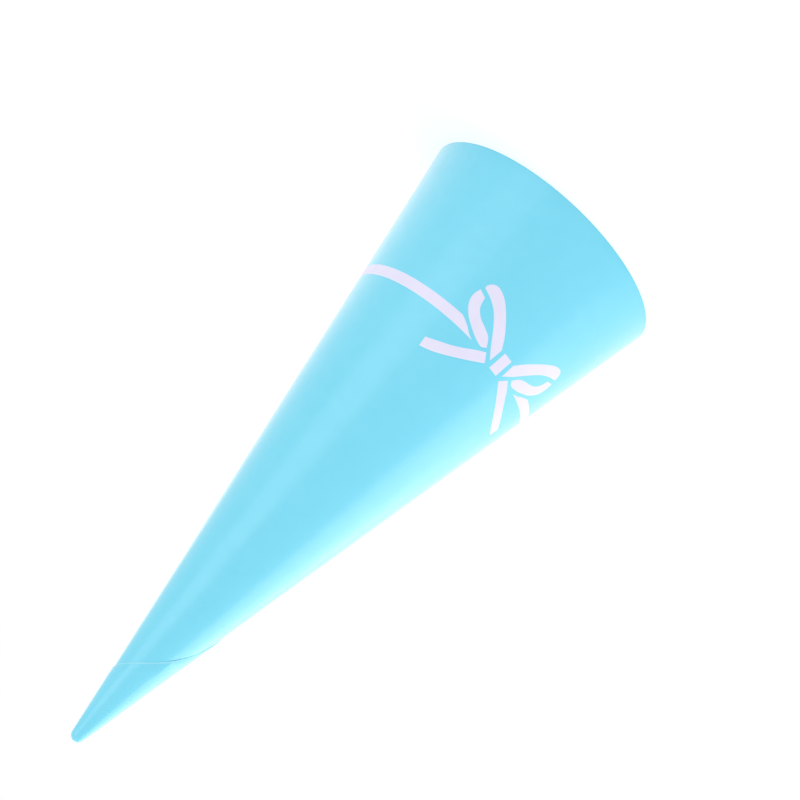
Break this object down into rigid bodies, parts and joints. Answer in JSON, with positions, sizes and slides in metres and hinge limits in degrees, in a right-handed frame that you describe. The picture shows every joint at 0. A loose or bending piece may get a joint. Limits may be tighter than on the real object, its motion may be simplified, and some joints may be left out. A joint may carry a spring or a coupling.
{
  "type": "paper cone sleeve",
  "caption": "Rolled paper cone sleeve with a blunt closed tip, an oblique glued seam and an open round mouth, for holding an ice cream cone.",
  "frame": {"origin": "centre of the mouth, on the plane of the rim that the sleeve stands on", "axes": "+Z along the cone's axis from the mouth to the closed tip, which points up; -Y is the printed front of the sleeve, where the ribbon shows, and the bow lies just round from it towards -X"},
  "size_m": [0.0588, 0.0588, 0.1426],
  "materials": {
    "paper": "matte light sky-blue printed paper with a white ribbon and bow"
  },
  "bodies": {
    "root": {"sleeve": "paper"}
  },
  "joints": []
}
